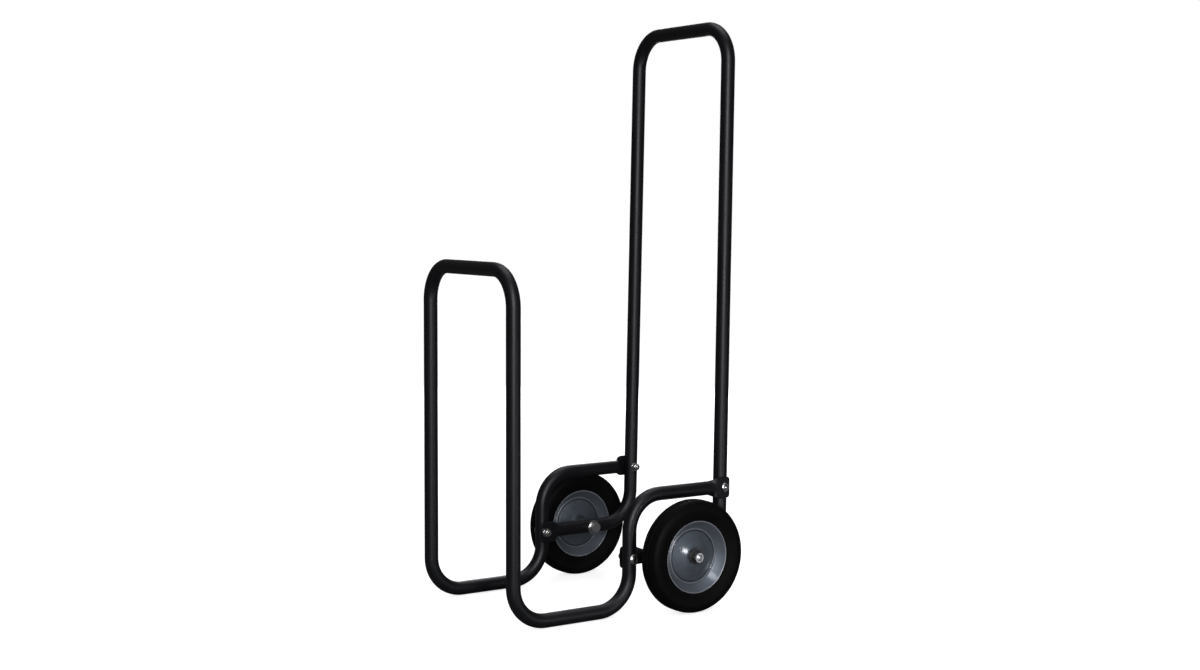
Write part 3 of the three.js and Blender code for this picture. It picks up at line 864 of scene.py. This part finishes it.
def disc_profile():
    """Outline of one disc, front from hub to lip, then back again."""
    front = [(dome(r), r) for r in DOME_RADII]
    seam = [(face_x + height, r) for height, r in GROOVE + BEAD]
    fillet = arc(face_x + FILLET_SIZE, FILLET_START, FILLET_SIZE, 172, 180 - BOWL_START, 5)
    cone = bowl(fillet[-1], lip_r - 0.85 * LIP_SIZE)
    lip = arc(lip_x, lip_r, LIP_SIZE, 205, 90, 9)
    cone_underside = [(back_x + RIM_DEPTH, cone_back + RIM_DEPTH), (back_x, cone_back)]
    back = [(dome(r) - SHEET, r) for r in reversed(DOME_RADII)]
    return front + seam + fillet + cone + lip + cone_underside + back


def in_weld(centre):
    """Whether a face lies on the flat top of the bead, within one of the welds."""
    radius = math.hypot(centre.y - wheel.y, centre.z - wheel.z) / MM
    facing_out = centre.x - wheel.x > (face_x - 0.2) * MM
    angle = math.atan2(centre.z - wheel.z, centre.y - wheel.y) - FIRST_WELD
    spacing = 2 * math.pi / WELDS
    off = abs((angle + spacing / 2) % spacing - spacing / 2)
    return facing_out and WELD_RADII[0] < radius < WELD_RADII[1] and off < WELD_HALF_ANGLE


outer_disc = turned("outer_disc_shown_near", disc_profile(), wheel, DISC_SIDES)
select_faces(outer_disc, in_weld)
print("faces in the welds:", sum(face.select for face in outer_disc.data.polygons))
for inward, deeper in WELD_STEPS:
    bpy.ops.mesh.inset(thickness=inward * MM)
    bpy.ops.transform.translate(value=(-deeper * MM, 0, 0))
settle(outer_disc, DISC_SMOOTH_ANGLE)
inner_disc = mirrored(outer_disc, "inner_disc_shown_near", wheel, DISC_SMOOTH_ANGLE)
finish_pair(outer_disc, "outer_disc", "grey_disc_paint", "wheel")
finish_pair(inner_disc, "inner_disc", "grey_disc_paint", "wheel")

# %% [markdown]
# ### Hub, bushing, washers and spacer
# These are all short sleeves, cut from tube or stamped from sheet. A cylinder with a hole
# would have knife edges, so one function turns a sleeve to fill a solid of the frame, with
# its edges broken as a lathe or a press leaves them.


# %% Sleeves
SMALL_SIDES = 64
AXLE_BORE = 6.65
BOLT_BORE = 4.3
HUB_BORE = 8.5


def span(node):
    """Middle of a solid's left end, with its length and half height in mm."""
    low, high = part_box(node)
    start = Vector((low.x, (low.y + high.y) / 2, (low.z + high.z) / 2))
    return start, (high.x - low.x) / MM, (high.z - low.z) / 2 / MM


def sleeve(name, node, bore, edge):
    """A sleeve as long and as wide as a solid of the frame, with this bore in mm."""
    start, length, outer = span(node)
    ease = edge * 0.3
    profile = [
        (0, bore + edge), (0, outer - edge), (ease, outer - ease), (edge, outer),
        (length - edge, outer), (length - ease, outer - ease), (length, outer - edge),
        (length, bore + edge), (length - ease, bore + ease), (length - edge, bore),
        (edge, bore), (ease, bore + ease),
    ]
    return turned(name, profile, start, SMALL_SIDES)


for node, bore, edge, finish, body in (
    ("hub_tube", HUB_BORE, 0.4, "plain_steel", "wheel"),
    ("hub_bushing", AXLE_BORE, 0.3, "white_nylon", "wheel"),
    ("axle_head_washer", AXLE_BORE, 0.45, "bright_zinc", "frame"),
    ("axle_washer", AXLE_BORE, 0.45, "bright_zinc", "frame"),
    ("axle_spacer", AXLE_BORE, 0.4, "plain_steel", "frame"),
    ("riser_washer", BOLT_BORE, 0.3, "bright_zinc", "frame"),
    ("rear_washer", BOLT_BORE, 0.3, "bright_zinc", "frame"),
):
    finish_pair(sleeve(f"{node}_shown_near", f"{node}_near", bore, edge), node, finish, body)

# %% [markdown]
# ### Nuts
# A nut starts as a six-sided bar. Its corners are taken off by a turned shape that it is
# intersected with, which leaves the curved chamfer that a real nut has, and its hole is
# cut last. These are lock nuts, with a round collar on the outer end.

# %% Lock nuts
BOLT_NUT_ACROSS = 13
BOLT_NUT_BORE = 4.15
AXLE_NUT_ACROSS = 19
AXLE_NUT_BORE = 6.5
CHAMFER_SHARE = 0.09
COLLAR_SHARE = 0.24
COLLAR_SUNK = 0.6


def hexagon(name, across, start_x, length, centre):
    nothing_selected()
    bpy.ops.mesh.primitive_cylinder_add(
        vertices=6, radius=across / math.sqrt(3) * MM, depth=length * MM, rotation=(0, math.pi / 2, 0),
        location=(centre.x + (start_x + length / 2) * MM, centre.y, centre.z))
    bpy.context.object.name = name
    return settle(bpy.context.object, CORNER_SMOOTH_ANGLE)


def chamfer_body(across, start_x, length, centre):
    """A drum with coned ends that just clears a hexagon's corners at its middle."""
    corner = across / math.sqrt(3) + 0.01
    face = across / 2 - 0.2
    drop = CHAMFER_SHARE * across
    end_x = start_x + length
    profile = [(start_x, 0), (start_x, face), (start_x + drop, corner),
               (end_x - drop, corner), (end_x, face), (end_x, 0)]
    return turned("chamfer_body", profile, centre)


def lock_nut(name, node, across, bore, collar_outward):
    """A nut that fills a solid of the frame; its collar faces away from the joint."""
    start, length = span(node)[:2]
    collar = COLLAR_SHARE * length
    hex_start = 0 if collar_outward else collar
    nut = hexagon(name, across, hex_start, length - collar, start)
    nut = joined(nut, chamfer_body(across, hex_start, length - collar, start), "INTERSECT")
    root = across / 2 - 0.35
    top = across / 2 - 1.3
    ring = [(-COLLAR_SUNK, 0), (-COLLAR_SUNK, root), (collar * 0.6, root), (collar, top), (collar, 0)]
    if collar_outward:
        ring = [(length - collar + x, r) for x, r in ring]
    else:
        ring = [(collar - x, r) for x, r in ring]
    nut = joined(nut, turned("nut_collar", ring, start, SMALL_SIDES), "UNION")
    drill = [(-1, 0), (-1, bore), (length + 1, bore), (length + 1, 0)]
    return joined(nut, turned("nut_hole", drill, start, SMALL_SIDES), "DIFFERENCE")


for node, across, bore, collar_outward in (
    ("riser_nut", BOLT_NUT_ACROSS, BOLT_NUT_BORE, False),
    ("rear_nut", BOLT_NUT_ACROSS, BOLT_NUT_BORE, False),
    ("axle_nut", AXLE_NUT_ACROSS, AXLE_NUT_BORE, True),
):
    nut = lock_nut(f"{node}_shown_near", f"{node}_near", across, bore, collar_outward)
    finish_pair(nut, node, "bright_zinc")

# %% [markdown]
# ### Bolts
# The frame's bolts have a low domed head, and the axle bolts a hexagon head and a slightly
# domed, cropped end. A real thread is a helix, but only a turn or two of it shows past a
# nut, so rings of the same pitch stand for it.


# %% Bolts
BOLT_SHANK = 3.8
BOLT_PITCH = 1.25
BOLT_THREAD_DEPTH = 0.6
BOLT_THREADED = 14
HEAD_RIM = 0.8
AXLE_SHANK = 6.3
AXLE_PITCH = 1.75
AXLE_THREAD_DEPTH = 0.8
AXLE_THREADED = 20
AXLE_HEAD = 8
AXLE_END_RADIUS = 6.0
AXLE_END_DOME = 10.5


def thread(start, end, radius, pitch, depth):
    """Rings along a shank, from start to end along x."""
    points = []
    count = round(abs(end - start) / pitch)
    step = (end - start) / count
    for k in range(count):
        points += [(start + step * (k + 0.15), radius), (start + step * (k + 0.35), radius),
                   (start + step * (k + 0.75), radius - depth)]
    return points


def dome_arc(tip_x, size, edge_radius, steps):
    """The outline of a domed end, from its tip on the centre line out to its edge."""
    half_angle = math.degrees(math.asin(edge_radius / size))
    return arc(tip_x - size, 0, size, 0, half_angle, steps)


def domed_bolt(name, node):
    start, length, head_radius = span(node)
    head = BOLT_HEAD_HEIGHT / MM
    seat = length - head
    size = (head_radius**2 + (head - HEAD_RIM) ** 2) / (2 * (head - HEAD_RIM))
    crown = dome_arc(length, size, head_radius - 0.3, 12)
    under = [(seat + 0.45, head_radius - 0.02), (seat, head_radius - 0.45), (seat, BOLT_SHANK)]
    ridges = thread(seat - BOLT_THREADED, 1.4, BOLT_SHANK + 0.05, BOLT_PITCH, BOLT_THREAD_DEPTH)
    shank = [(seat - BOLT_THREADED + 0.1, BOLT_SHANK)] + ridges
    tip = [(0.9, BOLT_SHANK - 0.4), (0.2, BOLT_SHANK - 0.8), (0, BOLT_SHANK - 1.2), (0, 0)]
    return turned(name, crown + under + shank + tip, start, SMALL_SIDES)


def axle_bolt(name, node):
    start, length = span(node)[:2]
    bolt = hexagon(name, AXLE_NUT_ACROSS, 0, AXLE_HEAD, start)
    bolt = joined(bolt, chamfer_body(AXLE_NUT_ACROSS, 0, AXLE_HEAD, start), "INTERSECT")
    ridges = thread(length - AXLE_THREADED, length - 2.4, AXLE_SHANK, AXLE_PITCH, AXLE_THREAD_DEPTH)
    shank = [(AXLE_HEAD / 2, 0), (AXLE_HEAD / 2, AXLE_SHANK), (length - AXLE_THREADED - 0.1, AXLE_SHANK)]
    end = dome_arc(length, AXLE_END_DOME, AXLE_END_RADIUS, 10)[::-1]
    shank += ridges + [(end[0][0] - 0.35, AXLE_SHANK - 0.1)] + end
    return joined(bolt, turned("axle_shank", shank, start, SMALL_SIDES), "UNION")


for node in ("riser_bolt", "rear_bolt"):
    finish_pair(domed_bolt(f"{node}_shown_near", f"{node}_near"), node, "bright_zinc")
finish_pair(axle_bolt("axle_bolt_shown_near", "axle_bolt_near"), "axle_bolt", "bright_zinc")

# %% [markdown]
# ## Floor and light
# A pale floor and a pale sky leave the black tubes to draw the outline. Felt at full strength
# they would turn the tubes grey, so both are white only to the camera and light the cart
# dimly. The front box, beside the camera, draws the line of light down each tube. The low box
# makes the one bright spot on the near wheel's dome, the high box lifts the lower right of
# its cone, the back box shows the far side, and a very soft sun fills in from overhead.


# %% Floor and lights
CART_MIDDLE = (0, 0, 0.45)
LAMP_TINT = (0.95, 0.955, 1.0)
SUN_SPREAD = math.radians(50)
SKY_SEEN = 1.0
SKY_FELT = 0.07
FLOOR_GLOW = 0.74
FLOOR_SIZE = 60


def grey(value):
    return (value, value, value, 1)


def seen_by_camera(tree):
    return Wire(tree).node("ShaderNodeLightPath", output="Is Camera Ray")


def stage_floor():
    nothing_selected()
    bpy.ops.mesh.primitive_plane_add(size=FLOOR_SIZE, location=(0, 0, 0))
    floor = bpy.context.object
    floor.name = "studio_floor"
    material, place, shader = new_finish("floor_paint")
    seen = seen_by_camera(material.node_tree)
    pale = speckle(place, 3, 3).blend(grey(0.85), grey(0.88))
    colour = seen.blend(grey(0.14), pale)
    glow = seen.blend(grey(0), grey(FLOOR_GLOW))
    connect(shader, Base_Color=colour, Roughness=0.9, Specular_IOR_Level=0.1)
    connect(shader, Emission_Color=glow, Emission_Strength=1.0)
    floor.data.materials.append(material)
    floor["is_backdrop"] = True


def lamp(name, kind, place, target, power):
    light = bpy.data.lights.new(name, kind)
    light.energy = power
    light.color = LAMP_TINT
    holder = bpy.data.objects.new(name, light)
    bpy.context.scene.collection.objects.link(holder)
    holder.location = place
    holder.rotation_euler = (Vector(place) - Vector(target)).to_track_quat("Z", "Y").to_euler()
    holder.visible_camera = False
    return light


def soft_box(name, place, target, size, power, shape="RECTANGLE"):
    light = lamp(name, "AREA", place, target, power)
    light.shape = shape
    light.size, light.size_y = size


stage_floor()
soft_box("front_box", (3.28, -1.55, 1.2), CART_MIDDLE, (0.65, 2.2), 74)
soft_box("low_box", (1.44, 0.47, 0.075), wheel, (0.14, 0.13), 1.7)
soft_box("high_box", (1.33, -0.57, 1.56), wheel, (0.6, 0.6), 4.5, "ELLIPSE")
soft_box("back_box", (-2.9, 1.9, 1.2), CART_MIDDLE, (0.9, 2.0), 34)
lamp("overhead", "SUN", (-0.6, 0.5, 3), (0, 0, 0), 1.0).angle = SUN_SPREAD
world = bpy.data.worlds.new("pale_sky")
bpy.context.scene.world = world
world.use_nodes = True
sky = world.node_tree.nodes["Background"]
sky_colour = seen_by_camera(world.node_tree).blend(grey(SKY_FELT), grey(SKY_SEEN))
connect(sky, Color=sky_colour, Strength=1.0)
bpy.context.scene.view_settings.view_transform = "Standard"

# %% [markdown]
# ## Size
# Fine work must not change the cart's size, so the box of the imported solids and the
# box of the finished pieces are written out together.

# %% Print the two boxes and finish
nothing_selected()
shown_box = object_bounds()
for label, corners in (("packed", cad_box), ("shown", shown_box)):
    print(label, [round(v, 4) for corner in corners for v in corner])
